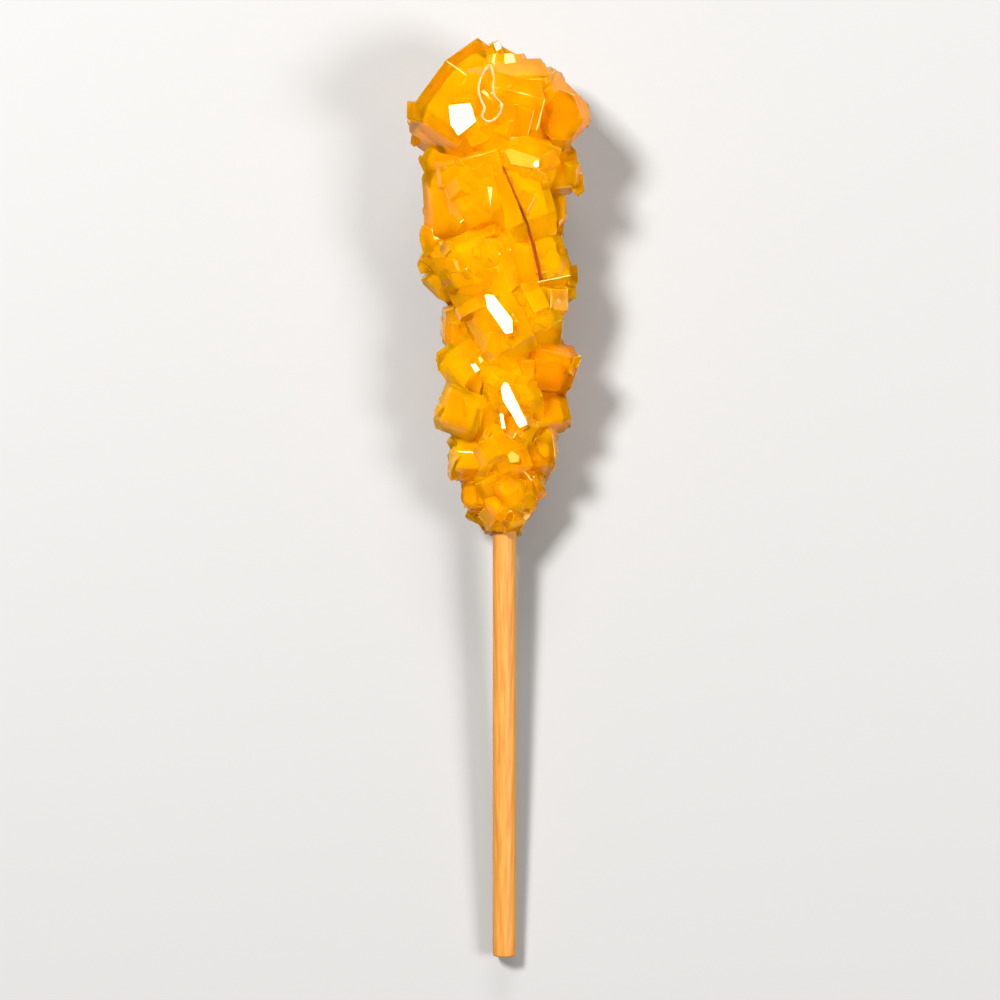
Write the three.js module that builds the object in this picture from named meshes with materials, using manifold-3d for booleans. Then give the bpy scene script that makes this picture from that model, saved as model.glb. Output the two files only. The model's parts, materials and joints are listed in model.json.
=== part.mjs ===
// A saffron rock candy stick, lying on its side: a round wooden stick with a tapering cluster of
// golden sugar crystals grown round one end, and a saffron thread caught in the crystals.
//
// Units are millimetres and +Z is up. The wide end of the candy points to +Y and the bare end of the
// stick to -Y. The origin is on the surface that it lies on, under the middle of its bounding box.

import * as THREE from 'three';
import { ConvexGeometry } from 'three/addons/geometries/ConvexGeometry.js';
import { mergeVertices } from 'three/addons/utils/BufferGeometryUtils.js';
import Module from 'manifold-3d';

// The stick
const STICK_DIAMETER = 4;
const STICK_LENGTH = 150;
const STICK_SIDES = 24;
const STICK_EDGE = 0.3; // the small round on each cut end
const FIT_GAP = 0.3; // between the stick and the crystals round it

// The candy. A station is a distance along the stick from the tip of the wide end. Each row of the
// outline is a station, how far out the crystals reach there, and how far that lies to the right.
const CANDY_LENGTH = 84;
const TIP_PAST_STICK = 5.5; // how far the crystals reach past the stick's hidden end
const OUTLINE = [
  [0, 3, -2], [5, 8.6, -1.4], [12, 13.2, -0.9], [22, 12.2, -1.2], [30, 11.2, -2], [40, 11, -0.9],
  [50, 10, 0], [60, 9.4, 0.2], [70, 8.2, -0.4], [78, 6.2, -0.6], [CANDY_LENGTH, 4, -0.3],
];
const CORE_TOP = 3; // station where the core starts
const CORE_DEPTH = 0.42; // how deep the core lies under the outline, as a share of the crystals' length
const CORE_LEAST_RADIUS = 3.3;
const CORE_SIDES = 14;
const CORE_STEPS = 14;

// The crystals. Sugar grows as leaning tablets with a chisel at each end, larger towards the wide end.
const CRYSTAL_LENGTHS = [10.2, 6]; // at the wide end and at the narrow end
const LENGTH_SPREAD = [0.75, 1.25]; // shares of that length
const WIDTH_SPREAD = [0.6, 0.85]; // shares of a crystal's own length
const THICKNESS_SPREAD = [0.5, 0.75];
const CRYSTAL_LEAN = THREE.MathUtils.degToRad(13);
const CHISEL = [0.16, 0.36]; // length of a chisel end, as a share of the crystal's length
const RIDGE_HEIGHT = [-0.4, 0.4]; // over the crystal's middle, as a share of half its thickness
const SHAPE_SEED = 15;
const RIDGE = 0.8; // width of the ridge on a chisel end, as a share of the crystal's width
const CORNER_CUT = 0.22; // how much of its width and thickness two opposite corners of a crystal lose

// The scattered crystals wind round the candy at the golden angle.
const SEED = 1234;
const FIRST_STATION = 2.6;
const CROWDING = 0.5; // surface that each crystal takes up, as a share of its length squared
const GOLDEN_ANGLE = Math.PI * (3 - Math.sqrt(5));
const ANGLE_WANDER = 0.5; // most that a crystal strays from its place round the candy, in radians
const FLAT_SHARE = 0.4; // share of them that lie flat against the cluster, where the others stand out
const FLAT_TILT = THREE.MathUtils.degToRad(34); // most that a flat one tilts
const STANDING_TILT = THREE.MathUtils.degToRad(54);
const PROUD_MOST = 0.35; // how far one may stand out of the outline, or end below it
const SHOWN_SIDE = 0.78; // how far they reach on the shown side, as a share of their reach sideways

// The largest crystals, placed one by one as they show from above. Each has how far across it lies,
// its station and its height over the stick's axis, then its length, width and thickness, and how far
// it is turned, rolled and pitched in degrees.
const LARGE_CRYSTALS = [
  { at: [-6.1, 11, 2.6], size: [19.6, 13, 9.5], turned: [234, 8, -4] }, // plate on the left shoulder
  { at: [2.4, 8.6, 2.4], size: [9.6, 9.4, 8], turned: [90, 8, -10] }, // block on top
  { at: [8.9, 12.9, 2.2], size: [11, 9.8, 9], turned: [45, 0, -80] }, // one on end at the right shoulder
  { at: [7, 21.8, 1.8], size: [10.4, 8.8, 8], turned: [99, 16, 4] }, // plate under it
  { at: [-8.5, 28, 1.4], size: [17, 9.4, 8.6], turned: [93, -12, 2] }, // long one down the left side
  { at: [0.2, 13.2, 5.2], size: [13.6, 11, 8.4], turned: [76, 3, -4] }, // broad face on the front
  { at: [3.2, 20.6, 5.2], size: [12, 8.4, 7.4], turned: [164, -6, 10] }, // pale face above the thread
  { at: [-4, 26.4, 4], size: [17, 11.6, 8.4], turned: [104, -15, 3] }, // broad face left of it
  { at: [3, 27.6, 4.4], size: [16, 8.6, 8], turned: [107, 11, -2] }, // long face under the thread
  { at: [5, 37.4, 3.6], size: [12.4, 9, 8], turned: [102, 16, 3] }, // the one below it
  { at: [5, 31, 1.6], size: [9.6, 8.4, 7.4], turned: [86, 14, 4] }, // side right of the thread
  { at: [-10.4, 37.2, 0.4], size: [6.4, 5, 4.6], turned: [40, 12, -6] }, // upper point on the left
  { at: [-10.2, 41, -0.4], size: [6.2, 5, 4.6], turned: [136, -10, 4] }, // lower point on the left
  { at: [6.9, 40.4, 1.2], size: [9.2, 8.6, 7.6], turned: [91, 14, 5] }, // square block on the right
  { at: [-4, 38, 3.8], size: [14, 12, 8], turned: [24, 3, -12] }, // face left of the waist
  { at: [-1.2, 47.4, 4.1], size: [15, 9.2, 7.6], turned: [118, -6, 5] }, // long face on the waist
  { at: [4.2, 46.6, 3.4], size: [12.4, 8.4, 7.6], turned: [112, 15, 4] }, // face on the right of the waist
  { at: [-6.2, 55, 1.8], size: [9.4, 7.8, 7], turned: [125, -10, 5] }, // corner on the left
  { at: [7, 55.4, 1.6], size: [9.4, 8.6, 7.6], turned: [72, 13, -6] }, // corner on the right
  { at: [-7, 62.6, 1.4], size: [9, 7.8, 7], turned: [71, -12, -7] }, // block on the lower left
  { at: [6.2, 63, 1.2], size: [8.4, 8, 7], turned: [103, 14, 5] }, // block on the lower right
  { at: [0.9, 58.6, 3.4], size: [14, 8.6, 7.4], turned: [112, 4, 4] }, // long face low down
  { at: [-5.2, 70.4, 1], size: [8.6, 7.4, 7], turned: [88, -12, 7] }, // last block on the left
  { at: [4.4, 70.6, 1.2], size: [8, 7, 6.6], turned: [92, 12, -6] }, // last block on the right
  { at: [-0.6, 69, 2.9], size: [11, 7.4, 6.4], turned: [66, 2, -3] }, // last face on the front
];
const LARGE_ROOM = 0.44; // share of a large crystal's length round its middle where others are sunk
const SUNK = 3; // how much deeper those lie

// The saffron thread on top: across and station of the points that it passes, from its thin end.
const THREAD_ROUTE = [[-0.2, 21.8], [1.6, 26], [3.4, 30.4], [4.9, 35.4], [6.1, 40.6]];
const THREAD_DIAMETER = 0.8;
const THREAD_SUNK = 0.35; // share of its diameter that lies in the crystals
const THREAD_SPOTS = 14; // where its height is found
const THREAD_STEPS = 28;
const THREAD_CURVE_SEGMENTS = 6;

// How it lies: the crystals under the wide end are the lowest, and the bare end all but touches down.
const SHOULDER_STATION = 13;
const SHOULDER_HEIGHT = 12.4; // of the stick's axis, a little less than the crystals reach
const BARE_END_CLEARANCE = 0.3;

const wasm = await Module();
wasm.setup();

// A closed three.js geometry as a solid that can be joined and cut.
function solidOf(geometry) {
  const bare = geometry.clone();
  bare.deleteAttribute('normal');
  bare.deleteAttribute('uv');
  const merged = mergeVertices(bare, 1e-4);
  return new wasm.Manifold(new wasm.Mesh({
    numProp: 3,
    vertProperties: new Float32Array(merged.attributes.position.array),
    triVerts: new Uint32Array(merged.index.array),
  }));
}

function geometryOf(solid) {
  const mesh = solid.getMesh();
  const geometry = new THREE.BufferGeometry();
  geometry.setAttribute('position', new THREE.BufferAttribute(mesh.vertProperties, 3));
  geometry.setIndex(new THREE.BufferAttribute(mesh.triVerts, 1));
  const flat = geometry.toNonIndexed();
  flat.computeVertexNormals();
  return flat;
}

// Evenly spread numbers from 0 to 1, the same on every run.
function seededDraws(seed) {
  let state = seed;
  return () => {
    state = (state * 1664525 + 1013904223) % 4294967296;
    return state / 4294967296;
  };
}

function between([low, high], share) {
  return THREE.MathUtils.lerp(low, high, share);
}

// How far out the crystals reach at a station, how far that lies to the right, and the outline's slope.
function outlineAt(station) {
  const next = Math.max(1, OUTLINE.findIndex(([end]) => end >= station));
  const [[start, reachHere, shiftHere], [end, reachNext, shiftNext]] = OUTLINE.slice(next - 1, next + 1);
  const share = (station - start) / (end - start);
  return {
    reach: between([reachHere, reachNext], share),
    shift: between([shiftHere, shiftNext], share),
    slope: (reachNext - reachHere) / (end - start),
  };
}

function usualLength(station) {
  return between(CRYSTAL_LENGTHS, station / CANDY_LENGTH);
}

const drawShape = seededDraws(SHAPE_SEED);

// A leaning tablet with a chisel at each end: length along X, width along Y, thickness along Z.
// Two opposite corners of its section are cut, so that its ends have six sides. The height of its
// ridges, the length of its chisels and the way that it leans are drawn for each crystal.
function crystal([length, width, thickness], place) {
  const ridgeHeight = between(RIDGE_HEIGHT, drawShape());
  const chisels = [between(CHISEL, drawShape()), between(CHISEL, drawShape())];
  const lean = Math.tan(CRYSTAL_LEAN) * (drawShape() < 0.5 ? 1 : -1);
  const section = [[1, 1 - 2 * CORNER_CUT], [1 - 2 * CORNER_CUT, 1], [-1, 1]];
  const points = [];
  for (const [index, end] of [-1, 1].entries()) {
    for (const side of [-1, 1]) {
      points.push(new THREE.Vector3(end * length / 2, side * RIDGE * width / 2, ridgeHeight * thickness / 2));
      for (const [across, up] of section) {
        const y = side * across * width / 2;
        const z = side * up * thickness / 2;
        const x = end * length * (0.5 - chisels[index] * Math.abs(up)) + z * lean;
        points.push(new THREE.Vector3(x, y, z));
      }
    }
  }
  return solidOf(new ConvexGeometry(points.map((point) => point.applyMatrix4(place))));
}

function largeCrystals() {
  return LARGE_CRYSTALS.map(({ at: [across, station, height], size, turned }) => {
    const [turn, roll, pitch] = turned.map(THREE.MathUtils.degToRad);
    const place = new THREE.Matrix4().makeRotationFromEuler(new THREE.Euler(roll, pitch, turn, 'ZYX'));
    return crystal(size, place.setPosition(across, -station, height));
  });
}

// Whether a spot on the upper side lies close to the middle of a large crystal.
function besideLargeCrystal(spot) {
  return spot.z > 0 && LARGE_CRYSTALS.some(({ at: [across, station], size: [length] }) =>
    Math.hypot(spot.x - across, spot.y + station) < LARGE_ROOM * length);
}

// A direction in the plane of two others at right angles, turned from the first towards the second.
function turnedTowards(first, second, angle) {
  return first.clone().multiplyScalar(Math.cos(angle)).addScaledVector(second, Math.sin(angle));
}

function scatteredCrystals() {
  const draw = seededDraws(SEED);
  const tipward = new THREE.Vector3(0, 1, 0);
  const crystals = [];
  let station = FIRST_STATION;
  for (let count = 0; station < CANDY_LENGTH - 1; count++) {
    const { reach, shift, slope } = outlineAt(station);
    const length = usualLength(station) * between(LENGTH_SPREAD, draw());
    const width = length * between(WIDTH_SPREAD, draw());
    const thickness = length * between(THICKNESS_SPREAD, draw());
    const round = count * GOLDEN_ANGLE + ANGLE_WANDER * draw();
    const liesFlat = draw() < FLAT_SHARE;
    const tilt = (liesFlat ? FLAT_TILT : STANDING_TILT) * draw();
    const tiltTowards = 2 * Math.PI * draw();
    const spin = 2 * Math.PI * draw();
    const proud = between([-PROUD_MOST, PROUD_MOST], draw());

    // Square to the outline, then tilted, then spun about itself.
    const radial = new THREE.Vector3(Math.sin(round), 0, Math.cos(round));
    const outward = radial.clone().addScaledVector(tipward, slope).normalize();
    const sideways = new THREE.Vector3().crossVectors(tipward, outward).normalize();
    const uphill = new THREE.Vector3().crossVectors(outward, sideways);
    const main = turnedTowards(outward, turnedTowards(uphill, sideways, tiltTowards), tilt);
    const flat = new THREE.Vector3().crossVectors(main, sideways).normalize();
    const second = turnedTowards(flat, new THREE.Vector3().crossVectors(main, flat), spin);
    const third = new THREE.Vector3().crossVectors(main, second);

    const depth = (liesFlat ? thickness : length) / 2;
    const spot = new THREE.Vector3(shift, -station, 0)
      .addScaledVector(radial, reach)
      .addScaledVector(outward, proud - depth);
    if (spot.z > 0) spot.z *= SHOWN_SIDE;
    if (besideLargeCrystal(spot)) spot.addScaledVector(radial, -SUNK);
    const directions = liesFlat ? [second, third, main] : [main, second, third];
    const place = new THREE.Matrix4().makeBasis(...directions).setPosition(spot);
    crystals.push(crystal([length, width, thickness], place));
    station += CROWDING * length * length / (2 * Math.PI * reach);
  }
  return crystals;
}

// The cloudy heart of the cluster, which the crystals are rooted in.
function candyCore() {
  const profile = [new THREE.Vector2(0, -CANDY_LENGTH)];
  for (let step = CORE_STEPS; step >= 0; step--) {
    const station = between([CORE_TOP, CANDY_LENGTH - 1], step / CORE_STEPS);
    const radius = outlineAt(station).reach - CORE_DEPTH * usualLength(station);
    profile.push(new THREE.Vector2(Math.max(CORE_LEAST_RADIUS, radius), -station));
  }
  profile.push(new THREE.Vector2(0, -CORE_TOP));
  return solidOf(new THREE.LatheGeometry(profile, CORE_SIDES));
}

// The stick lies along Y, from its hidden end in the candy to its bare end.
const STICK_TOP = -TIP_PAST_STICK;
const STICK_BOTTOM = STICK_TOP - STICK_LENGTH;

function stickGeometry(radius, top, bottom, edge) {
  const outline = [[0, bottom], [radius - edge, bottom], [radius, bottom + edge], [radius, top - edge],
    [radius - edge, top], [0, top]];
  return new THREE.LatheGeometry(outline.map(([r, y]) => new THREE.Vector2(r, y)), STICK_SIDES);
}

// The stick leans so that its axis is high at the candy's shoulder and low at the bare end.
const lying = new THREE.Group();
const bareEndHeight = STICK_DIAMETER / 2 + BARE_END_CLEARANCE;
const lean = Math.asin((SHOULDER_HEIGHT - bareEndHeight) / (-STICK_BOTTOM - SHOULDER_STATION));
lying.rotation.x = lean;
lying.position.z = SHOULDER_HEIGHT + SHOULDER_STATION * Math.sin(lean);
lying.updateMatrixWorld(true);

// Everything under the surface that the candy lies on, in the stick's own frame.
function floorBlock() {
  const size = 4 * CANDY_LENGTH;
  const block = new THREE.BoxGeometry(size, size, size).translate(0, 0, -size / 2);
  return solidOf(block.applyMatrix4(lying.matrixWorld.clone().invert()));
}

// The thread lies along the top of the crystals, found by looking down on them all along its route.
// Where they step down, it keeps the middle of its neighbours' heights.
function saffronThread(candy) {
  const surface = new THREE.Mesh(geometryOf(candy));
  const down = new THREE.Vector3(0, 0, -1);
  const route = new THREE.SplineCurve(
    THREAD_ROUTE.map(([across, station]) => new THREE.Vector2(across, -station)));
  const spots = route.getPoints(THREAD_SPOTS).map(({ x, y }) => {
    const above = new THREE.Vector3(x, y, CANDY_LENGTH);
    return new THREE.Raycaster(above, down).intersectObject(surface)[0].point;
  });
  const lift = THREAD_DIAMETER * (0.5 - THREAD_SUNK);
  const path = spots.map((spot, step) => {
    const before = spots[Math.max(0, step - 1)].z;
    const after = spots[Math.min(THREAD_SPOTS, step + 1)].z;
    return spot.clone().setZ(Math.max(spot.z, (before + after) / 2) + lift);
  });
  const section = new THREE.Shape();
  section.absarc(0, 0, THREAD_DIAMETER / 2, 0, 2 * Math.PI, false);
  return solidOf(new THREE.ExtrudeGeometry(section, {
    extrudePath: new THREE.CatmullRomCurve3(path),
    steps: THREAD_STEPS,
    curveSegments: THREAD_CURVE_SEGMENTS,
    bevelEnabled: false,
  }));
}

// The crystals joined to the core, bored for the stick and flat where they meet the surface below.
// Scraps that the cuts leave loose are dropped.
function candySolid() {
  const bore = solidOf(stickGeometry(
    STICK_DIAMETER / 2 + FIT_GAP, STICK_TOP + FIT_GAP, STICK_BOTTOM, STICK_EDGE));
  const crystals = [...largeCrystals(), ...scatteredCrystals()];
  const grown = crystals.reduce((joined, next) => joined.add(next), candyCore());
  const pieces = grown.subtract(bore).subtract(floorBlock()).decompose();
  const whole = pieces.sort((one, other) => other.volume() - one.volume())[0];
  return whole.add(saffronThread(whole));
}

const candy = new THREE.Mesh(
  geometryOf(candySolid()),
  new THREE.MeshStandardMaterial({ color: '#f4ac16', roughness: 0.15, metalness: 0 }),
);
candy.name = 'candy';

const stick = new THREE.Mesh(
  stickGeometry(STICK_DIAMETER / 2, STICK_TOP, STICK_BOTTOM, STICK_EDGE),
  new THREE.MeshStandardMaterial({ color: '#e8b878', roughness: 0.7, metalness: 0 }),
);
stick.name = 'stick';
lying.add(candy, stick);

// The origin goes under the middle of the whole.
const rockCandyStick = new THREE.Group();
rockCandyStick.add(lying);
const middle = new THREE.Box3().setFromObject(rockCandyStick, true).getCenter(new THREE.Vector3());
rockCandyStick.position.set(-middle.x, -middle.y, 0);

export default rockCandyStick;
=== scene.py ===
# A saffron rock candy stick, lying on a pale board and seen from straight above: golden sugar
# crystals grown round a birch stick, with a saffron thread caught in them.

import json
import math

import bmesh
import bpy
from mathutils import Euler, Matrix, Vector, noise
from mathutils.bvhtree import BVHTree

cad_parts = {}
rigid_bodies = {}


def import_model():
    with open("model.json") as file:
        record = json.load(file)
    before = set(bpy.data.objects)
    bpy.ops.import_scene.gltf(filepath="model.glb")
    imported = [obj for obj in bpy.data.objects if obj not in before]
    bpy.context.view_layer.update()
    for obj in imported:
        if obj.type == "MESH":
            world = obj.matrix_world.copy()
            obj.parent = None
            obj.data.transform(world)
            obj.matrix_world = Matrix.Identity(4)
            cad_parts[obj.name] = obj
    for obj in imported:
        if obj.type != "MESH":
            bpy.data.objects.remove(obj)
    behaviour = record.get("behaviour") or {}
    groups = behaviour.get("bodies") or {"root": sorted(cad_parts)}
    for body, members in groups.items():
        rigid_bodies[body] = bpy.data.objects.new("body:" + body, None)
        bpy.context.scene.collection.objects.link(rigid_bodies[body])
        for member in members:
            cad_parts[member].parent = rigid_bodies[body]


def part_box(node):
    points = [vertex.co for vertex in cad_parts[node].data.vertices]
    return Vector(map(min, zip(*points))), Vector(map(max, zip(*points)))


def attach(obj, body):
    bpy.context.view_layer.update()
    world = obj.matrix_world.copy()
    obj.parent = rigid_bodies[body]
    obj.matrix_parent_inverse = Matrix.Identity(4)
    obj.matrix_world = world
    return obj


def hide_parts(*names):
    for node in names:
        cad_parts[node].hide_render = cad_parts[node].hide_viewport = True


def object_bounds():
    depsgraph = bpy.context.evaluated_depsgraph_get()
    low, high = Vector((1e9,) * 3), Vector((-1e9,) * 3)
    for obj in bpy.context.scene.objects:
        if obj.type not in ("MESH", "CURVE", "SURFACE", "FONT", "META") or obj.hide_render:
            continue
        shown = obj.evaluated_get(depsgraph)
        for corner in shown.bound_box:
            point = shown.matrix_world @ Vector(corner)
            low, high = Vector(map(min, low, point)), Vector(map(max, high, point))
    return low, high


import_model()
cad_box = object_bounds()
scene = bpy.context.scene
MM = 0.001


# The camera looks straight down, with the wide end of the candy at the top of the picture.
PICTURE_HEIGHT = 168 * MM  # of board that the picture shows
LENS = 180  # focal length and width of the sensor, in millimetres
SENSOR = 36
NEAREST = 10 * MM
FARTHEST = 10  # metres
camera_data = bpy.data.cameras.new("camera")
camera_data.lens = LENS
camera_data.sensor_width = SENSOR
camera_data.clip_start = NEAREST
camera_data.clip_end = FARTHEST
camera = bpy.data.objects.new("camera", camera_data)
camera.location = (0, 0, cad_box[1].z / 2 + PICTURE_HEIGHT * LENS / SENSOR)
scene.collection.objects.link(camera)
scene.camera = camera


# Sizes in millimetres, in the stick's own frame, as the solids have them. The stick lies along Y and
# a station is a distance along it from the tip of the candy.
STICK_DIAMETER = 4
STICK_LENGTH = 150
STICK_EDGE = 0.3  # the small round on each cut end
CANDY_LENGTH = 84
TIP_PAST_STICK = 5.5  # how far the crystals reach past the stick's hidden end
OUTLINE = [  # station, how far out the crystals reach there, and how far that lies to the right
    (0, 3, -2), (5, 8.6, -1.4), (12, 13.2, -0.9), (22, 12.2, -1.2), (30, 11.2, -2), (40, 11, -0.9),
    (50, 10, 0), (60, 9.4, 0.2), (70, 8.2, -0.4), (78, 6.2, -0.6), (CANDY_LENGTH, 4, -0.3),
]
LAST_STATION = CANDY_LENGTH - 1  # where the core ends, and the last crystals are rooted
CORE_TOP = 3  # station where the core starts
CORE_DEPTH = 0.42  # how deep it lies under the outline, as a share of the crystals' length
CORE_LEAST_RADIUS = 3.3
CORE_SIDES = 14
CORE_STEPS = 14

# The crystals. Sugar grows as leaning tablets with a chisel at each end, larger towards the wide end.
CRYSTAL_LENGTHS = (10.2, 6)  # at the wide end and at the narrow end
LENGTH_SPREAD = (0.75, 1.25)  # shares of that length
WIDTH_SPREAD = (0.6, 0.85)  # shares of a crystal's own length
THICKNESS_SPREAD = (0.5, 0.75)
CRYSTAL_LEAN = math.radians(13)
CHISEL = (0.16, 0.36)  # length of a chisel end, as a share of the crystal's length
RIDGE = 0.8  # width of the ridge on a chisel end, as a share of the crystal's width
RIDGE_HEIGHT = (-0.4, 0.4)  # over the crystal's middle, as a share of half its thickness
HABIT_SEED = 15
CORNER_CUT = 0.22  # how much of its width and thickness two opposite corners of a crystal lose

# The scattered crystals wind round the candy at the golden angle.
SEED = 1234
FIRST_STATION = 2.6
CROWDING = 0.5  # surface that each crystal takes up, as a share of its length squared
GOLDEN_ANGLE = math.pi * (3 - math.sqrt(5))
ANGLE_WANDER = 0.5  # most that a crystal strays from its place round the candy, in radians
FLAT_SHARE = 0.4  # share of them that lie flat against the cluster, where the others stand out
FLAT_TILT = math.radians(34)  # most that a flat one tilts
STANDING_TILT = math.radians(54)
PROUD = (-0.35, 0.35)  # how far one stands out of the outline, or ends below it

# The largest crystals, placed one by one as they show from above. Each has how far across it lies, its
# station and its height over the stick's axis, then its length, width and thickness, and how far it is
# turned, rolled and pitched in degrees.
LARGE_CRYSTALS = [
    ((-6.1, 11, 2.6), (19.6, 13, 9.5), (234, 8, -4)),
    ((2.4, 8.6, 2.4), (9.6, 9.4, 8), (90, 8, -10)),
    ((8.9, 12.9, 2.2), (11, 9.8, 9), (45, 0, -80)),
    ((7, 21.8, 1.8), (10.4, 8.8, 8), (99, 16, 4)),
    ((-8.5, 28, 1.4), (17, 9.4, 8.6), (93, -12, 2)),
    ((0.2, 13.2, 5.2), (13.6, 11, 8.4), (76, 3, -4)),
    ((3.2, 20.6, 5.2), (12, 8.4, 7.4), (164, -6, 10)),
    ((-4, 26.4, 4), (17, 11.6, 8.4), (104, -15, 3)),
    ((3, 27.6, 4.4), (16, 8.6, 8), (107, 11, -2)),
    ((5, 37.4, 3.6), (12.4, 9, 8), (102, 16, 3)),
    ((5, 31, 1.6), (9.6, 8.4, 7.4), (86, 14, 4)),
    ((-10.4, 37.2, 0.4), (6.4, 5, 4.6), (40, 12, -6)),
    ((-10.2, 41, -0.4), (6.2, 5, 4.6), (136, -10, 4)),
    ((6.9, 40.4, 1.2), (9.2, 8.6, 7.6), (91, 14, 5)),
    ((-4, 38, 3.8), (14, 12, 8), (24, 3, -12)),
    ((-1.2, 47.4, 4.1), (15, 9.2, 7.6), (118, -6, 5)),
    ((4.2, 46.6, 3.4), (12.4, 8.4, 7.6), (112, 15, 4)),
    ((-6.2, 55, 1.8), (9.4, 7.8, 7), (125, -10, 5)),
    ((7, 55.4, 1.6), (9.4, 8.6, 7.6), (72, 13, -6)),
    ((-7, 62.6, 1.4), (9, 7.8, 7), (71, -12, -7)),
    ((6.2, 63, 1.2), (8.4, 8, 7), (103, 14, 5)),
    ((0.9, 58.6, 3.4), (14, 8.6, 7.4), (112, 4, 4)),
    ((-5.2, 70.4, 1), (8.6, 7.4, 7), (88, -12, 7)),
    ((4.4, 70.6, 1.2), (8, 7, 6.6), (92, 12, -6)),
    ((-0.6, 69, 2.9), (11, 7.4, 6.4), (66, 2, -3)),
]
LARGE_ROOM = 0.44  # share of a large crystal's length round its middle where others are sunk
SUNK = 3  # how much deeper those lie
SHOWN_SIDE = 0.78  # how far the crystals reach on the shown side, as a share of their reach sideways

# The saffron thread on top: across and station of the points that it passes, from its thin end.
THREAD_ROUTE = [(-0.2, 21.8), (1.6, 26), (3.4, 30.4), (4.9, 35.4), (6.1, 40.6)]

# How it lies: the crystals under the wide end are the lowest, and the bare end all but touches down.
SHOULDER_STATION = 13
SHOULDER_HEIGHT = 12.4  # of the stick's axis, a little less than the crystals reach
BARE_END_CLEARANCE = 0.3

# Finer things, which only show close to, in millimetres too.
WORN_EDGE = 0.16  # width of the worn edge of a crystal
LAYER_EDGE = WORN_EDGE / 2  # the same on a growth layer
LATE_EDGE = WORN_EDGE / 3  # the same on a late or a placed crystal
EDGE_STEPS = 2
EDGE_FULLNESS = 0.6  # where 0.5 is a plain round
FACE_FLATNESS = math.radians(2)  # most between the triangles of one face
LAYERED_FACES = (1, 2)  # the sides of each crystal that carry a growth layer: across it, and through it
LAYER_SHARE = (0.6, 0.92)  # of the crystal's size
LAYER_STEP = (0.15, 0.4)  # how far a layer stands out
LATE_SEED = 77
LATE_END_ROOM = 2  # how far the late crystals stay from either end
LATE_LENGTHS = (2.2, 7)
LATE_WIDTHS = (0.4, 0.8)  # shares of the length
LATE_THICKNESS = 0.8  # share of the width
LATE_TILT = math.radians(15)  # most that one tilts
LATE_STEP = (0.06, 0.42)  # how far one stands out
LATE_CROWDING = (1.5, 0.8)  # surface for each at the wide and the narrow end, as a share of its own area
LATE_FACING = 0.8  # how squarely the surface has to face outwards there, where 1 is straight
HEART_SHARE = 0.7  # size of the cloudy inside of each crystal
HEART_DEPTH = 1  # how far the cloudy core lies inside the clear one
HEART_CLEARANCE = 0.4  # over the board
BLOCK_SIZE = 4 * CANDY_LENGTH  # of the block that cuts the underside flat

# How bright in colour the large crystals are, in the order of their list, from 0 for the deepest to 1.
LARGE_TINTS = (
    0.5, 0.35, 0.05, 0.3, 0.5, 0.35, 0.7, 0.65, 1, 0.7, 0.3, 0.7, 0.7,
    0.95, 0.7, 1, 1, 0.85, 0.05, 0.8, 0.5, 1, 0.8, 0.6, 0.95,
)
OTHER_TINTS = (0.25, 0.8)  # of the scattered crystals
LATE_TINTS = (0.4, 0.75)
CLEAR_TO_FROSTED = (0, 0.75)  # how frosted the crystals are, where 1 is dull
CORE_FACTS = {"tint": 0.5, "frost": 0.5}
TINT_SEED = 5

# Lights in metres: where each stands, its size and its power in watts.
KEY_LIGHT = ((-0.42, 0.4, 0.8), (0.24, 0.19), 18.3)
FILL_LIGHT = ((0.65, -0.1, 0.7), (0.35, 0.3), 8.7)
RIM_LIGHT = ((0.1, 0.9, 0.45), (0.5, 0.12), 5.5)
ROOM_COLOUR = "#FFEDD3"
ROOM_STRENGTH = 0.1

# Crystals of which one face shows at a certain place. Each has the light that it mirrors straight up,
# or None where it lies along the face under it, then its tint, how frosted it is, and the across and
# station of its corners.
PLACED_FACES = [
    (KEY_LIGHT, 1, 0, [(-9.3, 11.6), (-5.7, 11.2), (-4.7, 14.3), (-7.7, 16.7), (-9, 14.8)]),
    (KEY_LIGHT, 1, 0, [(-3.3, 43.1), (-1.9, 43.1), (1.3, 47.1), (1.3, 49.3), (0.1, 49.5), (-2.9, 45.2)]),
    (KEY_LIGHT, 1, 0, [(-0.7, 57.7), (0.5, 57.7), (3.8, 64.5), (2.5, 65.2), (-0.4, 60.4)]),
    (KEY_LIGHT, 1, 0, [(-5.7, 54.8), (-4.9, 54.6), (-4.2, 55.6), (-4.8, 56.2)]),
    (KEY_LIGHT, 1, 0, [(-0.9, 62.9), (-0.3, 62.9), (0.2, 65.3), (-0.4, 65.5)]),
    (KEY_LIGHT, 1, 1, [(0.5, 69.8), (1.3, 69.2), (2.5, 70), (2.3, 71), (0.9, 71.2)]),
    (KEY_LIGHT, 1, 0, [(4.8, 20.9), (5.7, 20.8), (5.7, 21.8), (4.9, 21.9)]),
    (FILL_LIGHT, 1, 1, [(0.1, 19.3), (1, 18.8), (5.9, 20.4), (5.9, 22.3), (1.2, 21.4)]),
    (None, 0, 0, [(9.1, 9), (11.5, 10), (12.5, 12.9), (11, 15), (7.8, 14.6), (6.5, 11.9)]),
    (None, 0, 0, [(5.6, 54), (9.6, 54.4), (9.4, 59.2), (5.4, 59)]),
    (None, 1.2, 0, [(2.4, 41.2), (5.4, 40.8), (7.6, 45), (4.8, 46)]),
    (None, 1.2, 0, [(-1.6, 23), (1.2, 23.4), (3, 31), (0.5, 32.4)]),
]
FACE_STEP = 0.1  # least that the face stands out of the crystals under it
FACE_LIFT = 1.6  # most that its middle stands out
FACE_DEPTH = 3  # how deep the crystal goes on below its face

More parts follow.
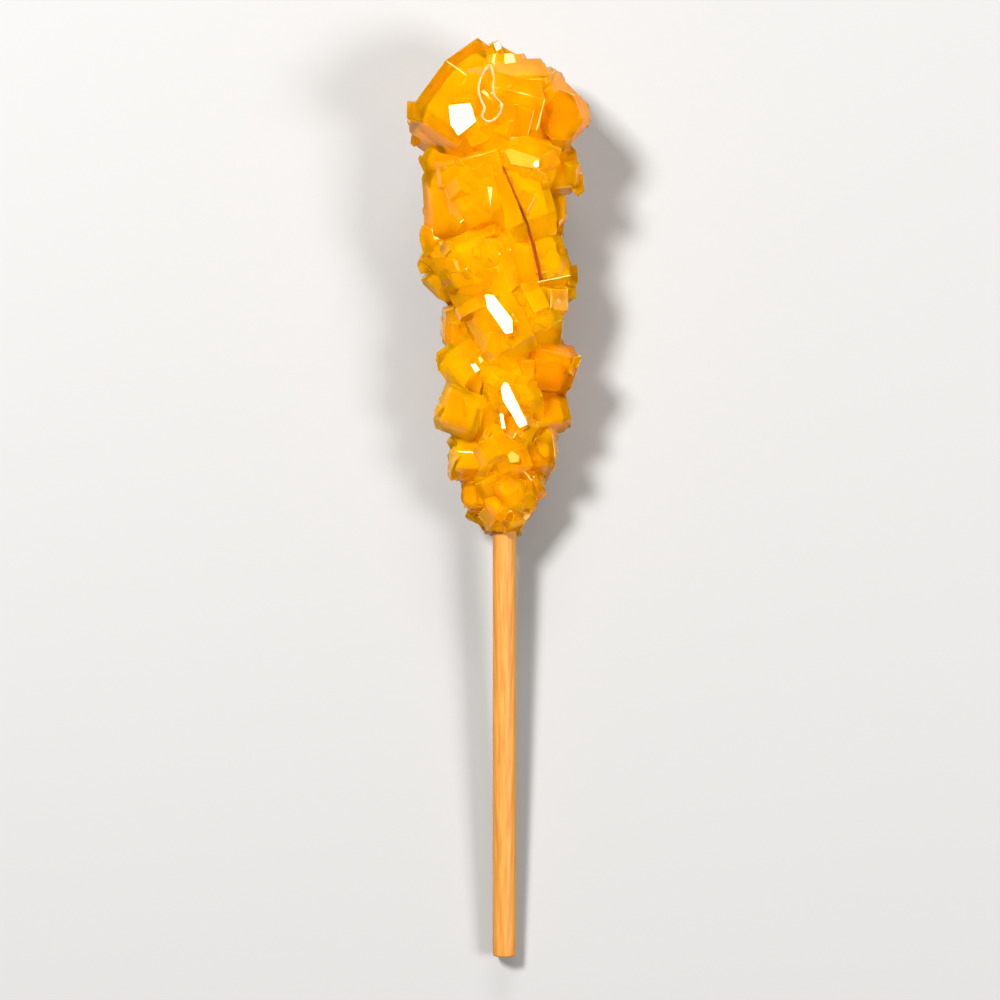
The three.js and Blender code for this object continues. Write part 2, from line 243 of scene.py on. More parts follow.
# A bead of syrup that dried on the candy as a wavy ring: across and station of the points it passes.
SYRUP_ROUTE = [
    (-2.4, 5), (-1.8, 7), (-1.9, 8.7), (-1.6, 10.1), (-0.5, 11.4), (-0.7, 12.8), (-1.6, 13.9),
    (-2.7, 14.3), (-3.7, 13.5), (-3.3, 12.1), (-3.9, 10.7), (-4.3, 9), (-3.9, 7.3), (-3.3, 6),
]
SYRUP_RADII = (0.1, 0.36)  # where it is thinnest, and where it is thickest
SYRUP_SPOTS = 140
SYRUP_SWELLING = 0.8  # how much its thickness varies, and over how many millimetres
SYRUP_WAVE = 0.9
THREAD_RADII = (0.12, 0.3)  # at its thin end, and at its thick one
THREAD_SPOTS = 70
THREAD_END_DEPTH = 0.4  # how far its ends are sunk
THREAD_TAPER = 0.8  # share of its length over which it thickens
THREAD_SWELLING = 0.22  # how much its thickness varies, and over how many millimetres
THREAD_WAVE = 1.1
TUBE_SIDES = 12
TUBE_FLATNESS = 0.8  # height of the thread or the bead, as a share of its width
WRINKLE_DEPTH = 0.14  # share of the radius
WRINKLES_ROUND = 2
WRINKLE_LENGTH = 2.5
EASING_ROUNDS = 60  # of smoothing where a thread or bead bridges a step

STICK_SIDES = 96
STICK_STEPS = 60
STICK_EDGE_STEPS = 4
STICK_END_RINGS = (0.66, 0.33)  # radii of the rings on a cut end, as shares of its own
STICK_RELIEF = 0.02  # depth of the grain that sanding leaves
STICK_END_RELIEF = 0.05
GRAIN_ROUND = 9  # ridges of the grain round the stick, about
GRAIN_LENGTH = 30
END_GRAIN = 3  # bumps of a cut end to the millimetre, about

DOWN = Vector((0, 0, -1))
BOARD_SIZE = 3  # metres


# Where the stick's frame lies in the scene: it leans by the height of the shoulder over the bare end.
stick_low, stick_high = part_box("stick")
STICK_TOP = -TIP_PAST_STICK
STICK_BOTTOM = STICK_TOP - STICK_LENGTH
bare_end_height = STICK_DIAMETER / 2 + BARE_END_CLEARANCE
LEAN = math.asin((SHOULDER_HEIGHT - bare_end_height) / (-STICK_BOTTOM - SHOULDER_STATION))
end_low = STICK_BOTTOM * math.cos(LEAN) - (STICK_DIAMETER / 2 - STICK_EDGE) * math.sin(LEAN)
lying = Matrix.Translation((
    (stick_low.x + stick_high.x) / 2 / MM,
    stick_low.y / MM - end_low,
    SHOULDER_HEIGHT + SHOULDER_STATION * math.sin(LEAN),
)) @ Matrix.Rotation(LEAN, 4, "X")


DRAW_FACTOR = 1664525  # of the rule that leads from each draw to the next
DRAW_STEP = 1013904223
DRAW_RANGE = 2 ** 32


def seeded_draws(seed):
    """Evenly spread numbers from 0 to 1, the same on every run."""
    state = seed
    while True:
        state = (state * DRAW_FACTOR + DRAW_STEP) % DRAW_RANGE
        yield state / DRAW_RANGE


def between(ends, share):
    """The value at a share of the way from one end to the other."""
    return ends[0] + (ends[1] - ends[0]) * share


def outline_at(station):
    """How far out the crystals reach at a station, how far that lies to the right, and its slope."""
    after = next((i for i, row in enumerate(OUTLINE) if row[0] >= station), len(OUTLINE) - 1)
    start, reach, shift = OUTLINE[max(1, after) - 1]
    end, next_reach, next_shift = OUTLINE[max(1, after)]
    share = (station - start) / (end - start)
    slope = (next_reach - reach) / (end - start)
    return between((reach, next_reach), share), between((shift, next_shift), share), slope


def crystal_points(length, width, thickness, habit):
    """Corners of a leaning tablet with a chisel at each end, and two opposite corners cut."""
    ridge_height, chisels, lean = habit
    section = ((1, 1 - 2 * CORNER_CUT), (1 - 2 * CORNER_CUT, 1), (-1, 1))
    points = []
    for end, chisel in zip((-1, 1), chisels):
        for side in (-1, 1):
            points.append((end * length / 2, side * RIDGE * width / 2, ridge_height * thickness / 2))
            for across, up in section:
                y = side * across * width / 2
                z = side * up * thickness / 2
                x = end * length * (0.5 - chisel * abs(up)) + z * lean
                points.append((x, y, z))
    return points


def habits():
    """How the crystals differ in shape: the height of their ridges, their chisels and their lean."""
    draws = seeded_draws(HABIT_SEED)
    while True:
        ridge_height = between(RIDGE_HEIGHT, next(draws))
        chisels = (between(CHISEL, next(draws)), between(CHISEL, next(draws)))
        lean = math.tan(CRYSTAL_LEAN) * (1 if next(draws) < 0.5 else -1)
        yield ridge_height, chisels, lean


def large_crystals():
    """The size and the place of each crystal that shows most."""
    for (across, station, height), size, (turn, roll, pitch) in LARGE_CRYSTALS:
        turned = Euler((math.radians(roll), math.radians(pitch), math.radians(turn)), "XYZ")
        yield size, Matrix.Translation((across, -station, height)) @ turned.to_matrix().to_4x4()


def beside_large_crystal(spot):
    """Whether a spot on the shown side is where a large crystal needs the room."""
    return spot.z > 0 and any(
        math.hypot(spot.x - at[0], spot.y + at[1]) < LARGE_ROOM * size[0]
        for at, size, _ in LARGE_CRYSTALS
    )


def turned_towards(first, second, angle):
    """The first direction, turned by an angle towards the second, which is square to it."""
    return first * math.cos(angle) + second * math.sin(angle)


def scattered_crystals():
    """Crystals that wind round the candy at the golden angle, each with its own size and tilt."""
    draws = seeded_draws(SEED)
    tipward = Vector((0, 1, 0))
    station = FIRST_STATION
    count = 0
    while station < LAST_STATION:
        reach, shift, slope = outline_at(station)
        length = between(CRYSTAL_LENGTHS, station / CANDY_LENGTH) * between(LENGTH_SPREAD, next(draws))
        width = length * between(WIDTH_SPREAD, next(draws))
        thickness = length * between(THICKNESS_SPREAD, next(draws))
        angle = count * GOLDEN_ANGLE + ANGLE_WANDER * next(draws)
        lies_flat = next(draws) < FLAT_SHARE
        tilt = (FLAT_TILT if lies_flat else STANDING_TILT) * next(draws)
        tilt_towards = 2 * math.pi * next(draws)
        spin = 2 * math.pi * next(draws)
        stands_out = between(PROUD, next(draws))

        radial = Vector((math.sin(angle), 0, math.cos(angle)))
        outward = (radial + tipward * slope).normalized()
        sideways = tipward.cross(outward).normalized()
        uphill = outward.cross(sideways)
        main = turned_towards(outward, turned_towards(uphill, sideways, tilt_towards), tilt)
        flat = main.cross(sideways).normalized()
        second = turned_towards(flat, main.cross(flat), spin)
        third = main.cross(second)

        depth = (thickness if lies_flat else length) / 2
        spot = Vector((shift, -station, 0)) + radial * reach + outward * (stands_out - depth)
        if spot.z > 0:
            spot.z *= SHOWN_SIDE
        if beside_large_crystal(spot):
            spot -= SUNK * radial
        directions = (second, third, main) if lies_flat else (main, second, third)
        place = Matrix.Translation(spot) @ Matrix(directions).transposed().to_4x4()
        yield (length, width, thickness), place
        station += CROWDING * length * length / (2 * math.pi * reach)
        count += 1


def main_crystals():
    """The size, shape and place of every crystal of the solid, the large ones first."""
    for (size, place), habit in zip([*large_crystals(), *scattered_crystals()], habits()):
        yield size, habit, place


def growth_layers(size, place, draws):
    """Smaller crystals lined up with a crystal, each a low step on one of its faces."""
    for face in LAYERED_FACES:
        layer = [side * between(LAYER_SHARE, next(draws)) for side in size]
        shift = [(next(draws) - 0.5) * (whole - part) for whole, part in zip(size, layer)]
        way = 1 if next(draws) < 0.5 else -1
        shift[face] = way * ((size[face] - layer[face]) / 2 + between(LAYER_STEP, next(draws)))
        yield layer, place @ Matrix.Translation(shift)


def mesh_of(bm, name):
    """What was built, as a mesh."""
    mesh = bpy.data.meshes.new(name)
    bm.to_mesh(mesh)
    bm.free()
    return mesh


def finish_faces(bm, facts):
    """Turns all faces outwards as triangles, and keeps facts such as the tint on them."""
    bmesh.ops.triangulate(bm, faces=bm.faces)
    bmesh.ops.recalc_face_normals(bm, faces=bm.faces)
    for name, value in facts.items():
        layer = bm.faces.layers.float.new(name)
        for face in bm.faces:
            face[layer] = value


def crystal_mesh(points, place, worn_edge, facts):
    """One crystal over its corners."""
    bm = bmesh.new()
    for point in points:
        bm.verts.new(point)
    bmesh.ops.convex_hull(bm, input=bm.verts)
    bmesh.ops.dissolve_limit(bm, angle_limit=FACE_FLATNESS, verts=bm.verts, edges=bm.edges)
    if worn_edge:
        bmesh.ops.bevel(
            bm, geom=bm.edges, offset=worn_edge, segments=EDGE_STEPS, profile=EDGE_FULLNESS,
            affect="EDGES", clamp_overlap=True)
    finish_faces(bm, facts)
    bm.transform(place)
    return mesh_of(bm, "crystal")


def core_mesh(inset):
    """The core that the crystals are rooted in, or the same core a little smaller."""
    bm = bmesh.new()
    rings = []
    for step in range(CORE_STEPS + 1):
        station = between((CORE_TOP + inset, LAST_STATION - inset), step / CORE_STEPS)
        usual = between(CRYSTAL_LENGTHS, station / CANDY_LENGTH)
        radius = max(CORE_LEAST_RADIUS, outline_at(station)[0] - CORE_DEPTH * usual) - inset
        turns = [2 * math.pi * side / CORE_SIDES for side in range(CORE_SIDES)]
        rings.append([bm.verts.new((radius * math.sin(t), -station, radius * math.cos(t))) for t in turns])
    for upper, lower in zip(rings, rings[1:]):
        for side in range(CORE_SIDES):
            after = (side + 1) % CORE_SIDES
            bm.faces.new((upper[side], upper[after], lower[after], lower[side]))
    bm.faces.new(rings[0])
    bm.faces.new(rings[-1])
    finish_faces(bm, CORE_FACTS)
    return mesh_of(bm, "core")


def board_block(clearance):
    """Everything below the board, or below a little over it, in the stick's frame."""
    bm = bmesh.new()
    middle = Matrix.Translation((0, 0, clearance - BLOCK_SIZE / 2))
    bmesh.ops.create_cube(bm, size=BLOCK_SIZE, matrix=middle)
    bm.transform(lying.inverted())
    return mesh_of(bm, "below")


def boolean(target, operation, others):
    """A mesh with the others joined to it or cut out of it."""
    group = bpy.data.collections.new("others")
    scene.collection.children.link(group)
    for mesh in others:
        group.objects.link(bpy.data.objects.new("other", mesh))
    whole = bpy.data.objects.new("whole", target)
    scene.collection.objects.link(whole)
    step = whole.modifiers.new("boolean", "BOOLEAN")
    step.operand_type = "COLLECTION"
    step.collection = group
    step.operation = operation
    step.solver = "MANIFOLD"
    bpy.context.view_layer.update()
    result = bpy.data.meshes.new_from_object(whole.evaluated_get(bpy.context.evaluated_depsgraph_get()))
    for used in [whole, *group.objects]:
        bpy.data.objects.remove(used)
    bpy.data.collections.remove(group)
    return result


def largest_part(mesh):
    """The mesh without the scraps that the cuts leave loose."""
    bm = bmesh.new()
    bm.from_mesh(mesh)
    left = set(bm.verts)
    parts = []
    while left:
        reached = {left.pop()}
        edge_of_search = list(reached)
        while edge_of_search:
            for edge in edge_of_search.pop().link_edges:
                for vert in edge.verts:
                    if vert in left:
                        left.remove(vert)
                        reached.add(vert)
                        edge_of_search.append(vert)
        parts.append(reached)
    parts.sort(key=len)
    for scrap in parts[:-1]:
        bmesh.ops.delete(bm, geom=list(scrap), context="VERTS")
    bm.to_mesh(mesh)
    bm.free()


def surface_of(mesh):
    """The surface of a mesh, for finding where a line meets it."""
    return BVHTree.FromPolygons([v.co for v in mesh.vertices], [p.vertices for p in mesh.polygons])


def late_crystals(surface):
    """Small flat crystals that grew last, all over the others, each barely standing out of them."""
    draws = seeded_draws(LATE_SEED)
    station = LATE_END_ROOM
    count = 0
    while station < CANDY_LENGTH - LATE_END_ROOM:
        length = between(LATE_LENGTHS, next(draws) ** 2)
        width = length * between(LATE_WIDTHS, next(draws))
        angle = count * GOLDEN_ANGLE + ANGLE_WANDER * next(draws)
        tilt = LATE_TILT * next(draws)
        tilt_towards = 2 * math.pi * next(draws)
        spin = 2 * math.pi * next(draws)
        stands_out = between(LATE_STEP, next(draws))
        reach, shift, _ = outline_at(station)
        inward = Vector((-math.sin(angle), 0, -math.cos(angle)))
        start = Vector((shift, -station, 0)) - inward * CANDY_LENGTH
        spot, normal = surface.ray_cast(start, inward)[:2]
        crowding = between(LATE_CROWDING, station / CANDY_LENGTH)
        station += crowding * length * width / (2 * math.pi * reach)
        count += 1
        if spot is None or normal.dot(inward) > -LATE_FACING:
            continue
        first = normal.orthogonal().normalized()
        second = normal.cross(first)
        main = turned_towards(normal, turned_towards(first, second, tilt_towards), tilt)
        flat = main.orthogonal().normalized()
        along = turned_towards(flat, main.cross(flat), spin)
        thickness = LATE_THICKNESS * width
        place = Matrix((along, main.cross(along), main)).transposed().to_4x4()
        place.translation = spot + main * (stands_out - thickness / 2)
        yield (length, width, thickness), place


def placed_crystals(surface):
    """Crystals with one bare face at a certain place, sunk in the others below it."""
    for light, tint, frost, corners in PLACED_FACES:
        sides = zip(corners, [*corners[1:], corners[0]])
        halves = [(Vector(corner) + Vector(following)) / 2 for corner, following in sides]
        spots = on_top(surface, corners)
        middle = sum(spots, Vector()) / len(spots)
        if light is None:
            main = surface.ray_cast(middle - CANDY_LENGTH * DOWN, DOWN)[1]
        else:
            half_way = Vector(light[0]).normalized() - DOWN
            main = (lying.inverted().to_3x3() @ half_way).normalized()
        slopes = main.xy / main.z
        below = [*spots, *on_top(surface, [*halves, (middle.x, -middle.y)])]
        highest = max(spot.z + slopes.dot(spot.xy - middle.xy) for spot in below)
        height = min(highest + FACE_STEP, middle.z + FACE_LIFT)
        face = [Vector((*spot.xy, height - slopes.dot(spot.xy - middle.xy))) for spot in spots]
        yield face + [corner - main * FACE_DEPTH for corner in face], {"tint": tint, "frost": frost}


def clear_crystals():
    """The clear outer crystals, joined and flat where they meet the board."""
    draws = seeded_draws(TINT_SEED)
    large = iter(LARGE_TINTS)
    meshes = []
    for size, habit, place in main_crystals():
        tint = next(large, None)
        if tint is None:
            tint = between(OTHER_TINTS, next(draws))
        facts = {"tint": tint, "frost": between(CLEAR_TO_FROSTED, next(draws))}
        meshes.append(crystal_mesh(crystal_points(*size, habit), place, WORN_EDGE, facts))
        for layer, layer_place in growth_layers(size, place, draws):
            meshes.append(crystal_mesh(crystal_points(*layer, habit), layer_place, LAYER_EDGE, facts))
    mesh = boolean(core_mesh(0), "UNION", meshes)
    late = []
    for (size, place), habit in zip(late_crystals(surface_of(mesh)), habits()):
        facts = {"tint": between(LATE_TINTS, next(draws)), "frost": between(CLEAR_TO_FROSTED, next(draws))}
        late.append(crystal_mesh(crystal_points(*size, habit), place, LATE_EDGE, facts))
    mesh = boolean(mesh, "UNION", late)
    placed = [
        crystal_mesh(points, Matrix.Identity(4), LATE_EDGE, facts)
        for points, facts in placed_crystals(surface_of(mesh))
    ]
    mesh = boolean(mesh, "UNION", placed)
    mesh = boolean(mesh, "DIFFERENCE", [board_block(0)])
    largest_part(mesh)
    return mesh


def cloudy_heart():
    """The cloudy inside of every crystal and of the core, which the clear outside lets show."""
    meshes = []
    for size, habit, place in main_crystals():
        inside = [side * HEART_SHARE for side in size]
        meshes.append(crystal_mesh(crystal_points(*inside, habit), place, 0, {}))
    mesh = boolean(core_mesh(HEART_DEPTH), "UNION", meshes)
    mesh = boolean(mesh, "DIFFERENCE", [board_block(HEART_CLEARANCE)])
    largest_part(mesh)
    return mesh


def smooth_route(points, count, closed):
    """A number of spots on a smooth curve through the points, or on a ring through them."""
    ring = [points[-1], *points, points[0], points[1]] if closed else [points[0], *points, points[-1]]
    spots = []
    for step in range(count):
        along = step / (count if closed else count - 1) * (len(ring) - 3)
        start = min(int(along), len(ring) - 4)
        t = along - start
        p0, p1, p2, p3 = (Vector(point) for point in ring[start:start + 4])
        bend = (2 * p0 - 5 * p1 + 4 * p2 - p3) * t * t + (3 * p1 - p0 - 3 * p2 + p3) * t ** 3
        spots.append(p1 + ((p2 - p0) * t + bend) / 2)
    return spots


def on_top(surface, route):
    """Where the crystals are met from above along a route of across and station."""
    return [surface.ray_cast(Vector((across, -station, CANDY_LENGTH)), DOWN)[0] for across, station in route]


def bridge_steps(path, closed):
    """Raises a path where the crystals step down under it, as a thread or thick syrup would lie."""
    ends = () if closed else (0, len(path) - 1)
    for _ in range(EASING_ROUNDS):
        heights = [spot.z for spot in path]
        for step, spot in enumerate(path):
            if step not in ends:
                spot.z = max(spot.z, (heights[step - 1] + heights[(step + 1) % len(path)]) / 2)


def tube_mesh(path, radii, closed):
    """A wrinkled and slightly flattened tube along a path."""
    bm = bmesh.new()
    rings = []
    for step, (spot, radius) in enumerate(zip(path, radii)):
        before = path[step - 1] if closed or step > 0 else spot
        after = path[(step + 1) % len(path)] if closed or step < len(path) - 1 else spot
        ahead = (after - before).normalized()
        side = ahead.cross(DOWN).normalized()
        up = side.cross(ahead) * TUBE_FLATNESS
        ring = []
        for turn in range(TUBE_SIDES):
            angle = 2 * math.pi * turn / TUBE_SIDES
            out = side * math.cos(angle) + up * math.sin(angle)
            wrinkle = 1 + WRINKLE_DEPTH * noise.noise(WRINKLES_ROUND * out + spot / WRINKLE_LENGTH)
            ring.append(bm.verts.new(spot + out * radius * wrinkle))
        rings.append(ring)
    for ring, following in zip(rings, [*rings[1:], rings[0]] if closed else rings[1:]):
        for turn in range(TUBE_SIDES):
            after = (turn + 1) % TUBE_SIDES
            bm.faces.new((ring[turn], ring[after], following[after], following[turn]))
    if not closed:
        bm.faces.new(rings[0])
        bm.faces.new(rings[-1])
    bmesh.ops.recalc_face_normals(bm, faces=bm.faces)
    for face in bm.faces:
        face.smooth = True
    return mesh_of(bm, "tube")


def saffron_thread(surface):
    """A dried saffron thread, half sunk along the top of the crystals, thin at its upper end."""
    path = on_top(surface, smooth_route(THREAD_ROUTE, THREAD_SPOTS, False))
    bridge_steps(path, False)
    for end in (path[0], path[-1]):
        end.z -= THREAD_END_DEPTH
    radii = []
    for step, spot in enumerate(path):
        thickness = between(THREAD_RADII, min(1, step / THREAD_SPOTS / THREAD_TAPER))
        radii.append(thickness * (1 + THREAD_SWELLING * noise.noise(spot / THREAD_WAVE)))
    return tube_mesh(path, radii, False)


def syrup_bead(surface):
    """A raised ring where the edge of a drop of syrup dried."""
    path = on_top(surface, smooth_route(SYRUP_ROUTE, SYRUP_SPOTS, True))
    bridge_steps(path, True)
    radii = [between(SYRUP_RADII, 0.5 + SYRUP_SWELLING * noise.noise(spot / SYRUP_WAVE)) for spot in path]
    return tube_mesh(path, radii, True)


def birch_stick():
    """The stick, with the fine lengthwise relief of sanded wood and worn ends."""
    radius = STICK_DIAMETER / 2
    inner = radius - STICK_EDGE
    edge = []
    for step in range(STICK_EDGE_STEPS + 1):
        turn = math.pi / 2 * step / STICK_EDGE_STEPS
        edge.append((inner + STICK_EDGE * math.sin(turn), STICK_EDGE * (1 - math.cos(turn))))
    sides = (STICK_BOTTOM + STICK_EDGE, STICK_TOP - STICK_EDGE)
    profile = [(out, STICK_BOTTOM + up) for out, up in edge]
    profile += [(radius, between(sides, step / STICK_STEPS)) for step in range(1, STICK_STEPS)]
    profile += [(out, STICK_TOP - up) for out, up in reversed(edge)]
    bm = bmesh.new()
    rings = []
    for out, y in profile:
        ring = []
        for side in range(STICK_SIDES):
            angle = 2 * math.pi * side / STICK_SIDES
            x, z = math.sin(angle), math.cos(angle)
            grain = noise.noise(Vector((x * GRAIN_ROUND, y / GRAIN_LENGTH, z * GRAIN_ROUND)))
            at = out - STICK_RELIEF * abs(grain)
            ring.append(bm.verts.new((at * x, y, at * z)))
        rings.append(ring)
    for end, y in ((0, STICK_BOTTOM), (-1, STICK_TOP)):
        rim = rings[end]
        smaller_rings = []
        for share in STICK_END_RINGS:
            smaller = []
            for vert in rim:
                rise = STICK_END_RELIEF * noise.noise(vert.co * END_GRAIN * share)
                smaller.append(bm.verts.new((vert.co.x * share, y + rise, vert.co.z * share)))
            smaller_rings.append(smaller)
        bm.faces.new(smaller_rings[-1])
        rings = [*reversed(smaller_rings), *rings] if end == 0 else [*rings, *smaller_rings]
    for ring, following in zip(rings, rings[1:]):
        for side in range(STICK_SIDES):
            after = (side + 1) % STICK_SIDES
            bm.faces.new((ring[side], ring[after], following[after], following[side]))
    bmesh.ops.recalc_face_normals(bm, faces=bm.faces)
    for face in bm.faces:
        face.smooth = len(face.verts) == 4
    return mesh_of(bm, "stick")


def place_piece(name, mesh, material, slot, *nodes):
    """Puts a piece made in the stick's frame where it lies in the scene."""
    mesh.transform(Matrix.Scale(MM, 4) @ lying)
    mesh.materials.clear()
    mesh.materials.append(material)
    piece = bpy.data.objects.new(name, mesh)
    scene.collection.objects.link(piece)
    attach(piece, "root")
    if nodes:
        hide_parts(*nodes)


def linear(code):
    """An sRGB hex colour as linear red, green, blue and alpha."""
    parts = [int(code[i:i + 2], 16) / 255 for i in (1, 3, 5)]
    return (*(p / 12.92 if p <= 0.04045 else ((p + 0.055) / 1.055) ** 2.4 for p in parts), 1)


def per_mm(size):
    """The scale of a texture whose features are so many millimetres wide."""
    return 1 / (size * MM)


def add(tree, kind, settings, inputs):
    """Adds a node with its settings, and sets or links each input."""
    node = tree.nodes.new("ShaderNode" + kind)
    for name, value in settings.items():
        setattr(node, name, value)
    for name, value in inputs.items():
        if isinstance(value, bpy.types.NodeSocket):
            tree.links.new(value, node.inputs[name])
        else:
            node.inputs[name].default_value = value
    return node


def new_material(name):
    """An empty material, and the tree that its nodes go in."""
    material = bpy.data.materials.new(name)
    material.use_nodes = True
    material.node_tree.nodes.clear()
    return material, material.node_tree


MIX_FACTOR, MIX_FIRST, MIX_SECOND, MIX_COLOUR = 0, 6, 7, 2  # sockets of a Mix node that mixes colours
NOISE_SPREAD = {"From Min": 0.35, "From Max": 0.65}  # where most of a noise texture's values lie

# Widths and depths of what the finishes show, in millimetres.
CLOUD_WIDTH = 5  # of the clearer and cloudier patches in a clear crystal
MILK_WIDTH = 4  # of the same in the cloudy sugar
RIPPLE_WIDTH = 2.6  # of the faint waves on a crystal's faces
RIPPLE_DEPTH = 0.03
WRINKLE_WIDTH = 0.5  # of the light and dark wrinkles of the thread
GRAIN_WIDTH = 0.5  # of a line of the wood's grain, coarser than the real one, so that it shows
GRAIN_STRETCH = 0.03  # how much slower the grain varies along the stick than across it
GRAIN_DEPTH = 0.02
SUGAR_IOR = 1.54
SUGAR_GLOW = (1, 1, 0.3)  # how far red, green and blue light spread in the sugar, against each other
CLOUD_WEIGHT = 1.6  # of the clouds in a crystal's colour, where its own tint has 1


def rock_sugar():
    """Sucrose grown slowly from saffron syrup: glassy facets, golden all through, clearer or cloudier
    from crystal to crystal, with a skin of dried syrup that tints and weakens what it mirrors."""
    material, tree = new_material("rock sugar, grown from saffron syrup")
    spot = add(tree, "TexCoord", {}, {}).outputs["Object"]
    tint = add(tree, "Attribute", {"attribute_name": "tint"}, {}).outputs["Fac"]
    frost = add(tree, "Attribute", {"attribute_name": "frost"}, {}).outputs["Fac"]
    clouds = add(tree, "TexNoise", {}, {
        "Vector": spot, "Scale": per_mm(CLOUD_WIDTH), "Detail": 3}).outputs["Fac"]
    mixed = add(tree, "Math", {"operation": "MULTIPLY_ADD"}, {
        0: clouds, 1: CLOUD_WEIGHT, 2: tint}).outputs[0]
    brighter = add(tree, "MapRange", {}, {"Value": mixed, "From Min": 0.6, "From Max": 2}).outputs[0]
    colour = add(tree, "Mix", {"data_type": "RGBA"}, {
        MIX_FACTOR: brighter,
        MIX_FIRST: linear("#FFA400"), MIX_SECOND: linear("#FFCA00")}).outputs[MIX_COLOUR]
    clearness = add(tree, "MapRange", {}, {"Value": frost, "To Min": 0.85, "To Max": 0.7}).outputs[0]
    roughness = add(tree, "MapRange", {}, {
        "Value": frost, "From Min": 0.7, "From Max": 1, "To Min": 0.06, "To Max": 0.5}).outputs[0]
    ripples = add(tree, "TexNoise", {}, {
        "Vector": spot, "Scale": per_mm(RIPPLE_WIDTH), "Detail": 1}).outputs["Fac"]
    bump = add(tree, "Bump", {}, {
        "Height": ripples, "Distance": RIPPLE_DEPTH * MM, "Strength": 1}).outputs[0]
    body = add(tree, "BsdfPrincipled", {}, {
        "Base Color": colour, "Roughness": roughness, "IOR": SUGAR_IOR, "Normal": bump,
        "Subsurface Weight": 1, "Subsurface Radius": SUGAR_GLOW, "Subsurface Scale": 1.2 * MM,
        "Transmission Weight": clearness,
        "Specular IOR Level": 0.3, "Specular Tint": linear("#FFDF95")})
    add(tree, "OutputMaterial", {}, {"Surface": body.outputs["BSDF"]})
    return material


def cloudy_sugar():
    """The quick first growth of the same sugar, full of tiny pockets of syrup: milky and deep gold."""
    material, tree = new_material("cloudy sugar, first growth")
    spot = add(tree, "TexCoord", {}, {}).outputs["Object"]
    clouds = add(tree, "TexNoise", {}, {
        "Vector": spot, "Scale": per_mm(MILK_WIDTH), "Detail": 3}).outputs["Fac"]
    richer = add(tree, "MapRange", {}, {"Value": clouds, **NOISE_SPREAD}).outputs[0]
    colour = add(tree, "Mix", {"data_type": "RGBA"}, {
        MIX_FACTOR: richer,
        MIX_FIRST: linear("#FFC400"), MIX_SECOND: linear("#FFE600")}).outputs[MIX_COLOUR]
    body = add(tree, "BsdfPrincipled", {}, {
        "Base Color": colour, "Roughness": 0.4, "IOR": SUGAR_IOR,
        "Subsurface Weight": 1, "Subsurface Radius": SUGAR_GLOW, "Subsurface Scale": 1.5 * MM})
    add(tree, "OutputMaterial", {}, {"Surface": body.outputs["BSDF"]})
    return material


def pale_syrup_with_painted_highlight():
    """Syrup dried to a crust of tiny crystals: creamy and shiny; its pale colour, lighter than the candy
    under it, is partly its own and partly a painted highlight along the ring.
    """
    material, tree = new_material("syrup, dried, pale partly as a painted highlight")
    body = add(tree, "BsdfPrincipled", {}, {
        # pale cream base colour: partly the crust's own colour, partly a painted highlight that stands in
        # for the reflection along the wavy ring
        "Base Color": linear("#FFD89C"), "Roughness": 0.12, "IOR": 1.5,
        "Subsurface Weight": 1, "Subsurface Radius": (1, 0.8, 0.4), "Subsurface Scale": 0.4 * MM,
        "Transmission Weight": 0.65})
    add(tree, "OutputMaterial", {}, {"Surface": body.outputs["BSDF"]})
    return material


def saffron():
    """Dried crocus stigma: a dull deep red-brown, lighter and darker along its wrinkles."""
    material, tree = new_material("saffron, dried")
    spot = add(tree, "TexCoord", {}, {}).outputs["Object"]
    wrinkles = add(tree, "TexNoise", {}, {
        "Vector": spot, "Scale": per_mm(WRINKLE_WIDTH), "Detail": 2}).outputs["Fac"]
    colour = add(tree, "Mix", {"data_type": "RGBA"}, {
        MIX_FACTOR: wrinkles,
        MIX_FIRST: linear("#622002"), MIX_SECOND: linear("#8A3A04")}).outputs[MIX_COLOUR]
    body = add(tree, "BsdfPrincipled", {}, {
        "Base Color": colour, "Roughness": 0.8, "IOR": 1.5, "Specular IOR Level": 0.2})
    add(tree, "OutputMaterial", {}, {"Surface": body.outputs["BSDF"]})
    return material


def birch():
    """Birch dowel, turned and sanded: pale warm wood with fine lengthwise grain and a dull surface."""
    material, tree = new_material("birch, turned and sanded")
    spot = add(tree, "TexCoord", {}, {}).outputs["Object"]
    stretched = add(tree, "Mapping", {}, {"Vector": spot, "Scale": (1, GRAIN_STRETCH, 1)}).outputs[0]
    grain = add(tree, "TexNoise", {}, {
        "Vector": stretched, "Scale": per_mm(GRAIN_WIDTH), "Detail": 4}).outputs["Fac"]
    paler = add(tree, "MapRange", {}, {"Value": grain, **NOISE_SPREAD}).outputs[0]
    colour = add(tree, "Mix", {"data_type": "RGBA"}, {
        MIX_FACTOR: paler,
        MIX_FIRST: linear("#AA6A1E"), MIX_SECOND: linear("#BF822E")}).outputs[MIX_COLOUR]
    bump = add(tree, "Bump", {}, {
        "Height": grain, "Distance": GRAIN_DEPTH * MM, "Strength": 1}).outputs[0]
    body = add(tree, "BsdfPrincipled", {}, {
        "Base Color": colour, "Roughness": 0.6, "IOR": 1.5, "Normal": bump})
    add(tree, "OutputMaterial", {}, {"Surface": body.outputs["BSDF"]})
    return material


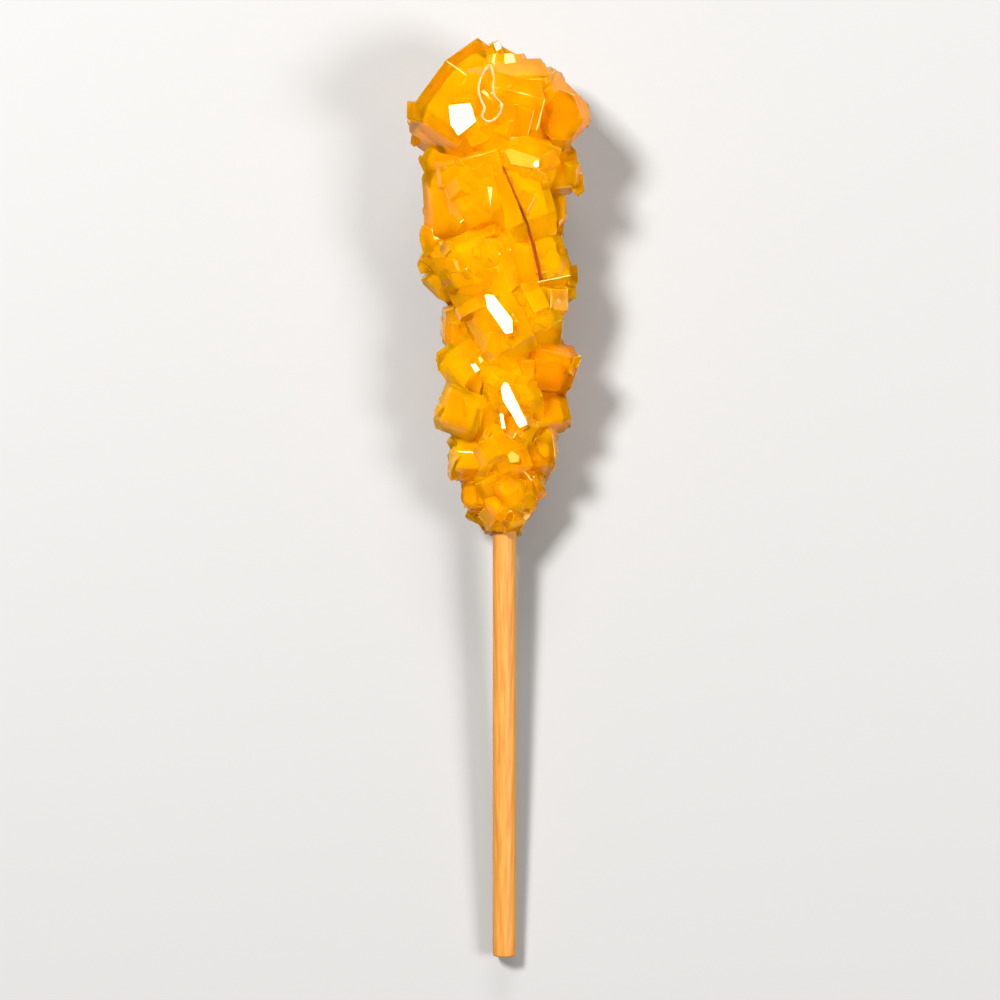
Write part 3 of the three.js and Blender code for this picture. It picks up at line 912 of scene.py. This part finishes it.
def painted_board():
    """Board with matt light grey paint, which the lights lift to a pale surface for the candy."""
    material, tree = new_material("board, painted")
    body = add(tree, "BsdfPrincipled", {}, {"Base Color": linear("#9B9A99"), "Roughness": 0.7})
    add(tree, "OutputMaterial", {}, {"Surface": body.outputs["BSDF"]})
    return material


def lay_board():
    """The flat board under the candy, which is no part of it."""
    bm = bmesh.new()
    bmesh.ops.create_grid(bm, x_segments=1, y_segments=1, size=BOARD_SIZE / 2)
    board = bpy.data.objects.new("board", mesh_of(bm, "board"))
    board.data.materials.append(painted_board())
    scene.collection.objects.link(board)


def softbox(name, place, size, power):
    """A soft light that faces the candy."""
    light = bpy.data.lights.new(name, "AREA")
    light.shape = "RECTANGLE"
    light.size, light.size_y = size
    light.energy = power
    lamp = bpy.data.objects.new(name, light)
    lamp.location = place
    lamp.rotation_euler = (-Vector(place)).to_track_quat("-Z", "Y").to_euler()
    scene.collection.objects.link(lamp)


def light_room():
    """The faint warm light that comes from all round."""
    world = bpy.data.worlds.new("room")
    world.use_nodes = True
    background = world.node_tree.nodes["Background"]
    background.inputs["Color"].default_value = linear(ROOM_COLOUR)
    background.inputs["Strength"].default_value = ROOM_STRENGTH
    scene.world = world


# The thread and the bead are fitted to the crystals in the stick's frame, before any piece is laid down.
crystals_mesh = clear_crystals()
crystal_surface = surface_of(crystals_mesh)
thread_mesh = saffron_thread(crystal_surface)
syrup_mesh = syrup_bead(crystal_surface)
place_piece("clear_crystals", crystals_mesh, rock_sugar(), "sugar_crystal", "candy")
place_piece("cloudy_heart", cloudy_heart(), cloudy_sugar(), "sugar_crystal")
place_piece("saffron_thread", thread_mesh, saffron(), "sugar_crystal")
# the bead's pale colour is partly a painted highlight along the ring
place_piece("pale_syrup_with_painted_highlight", syrup_mesh, pale_syrup_with_painted_highlight(), "sugar_crystal")
place_piece("birch_stick", birch_stick(), birch(), "wood", "stick")
lay_board()
softbox("key", *KEY_LIGHT)
softbox("fill", *FILL_LIGHT)
softbox("rim", *RIM_LIGHT)
light_room()
scene.view_settings.view_transform = "Standard"
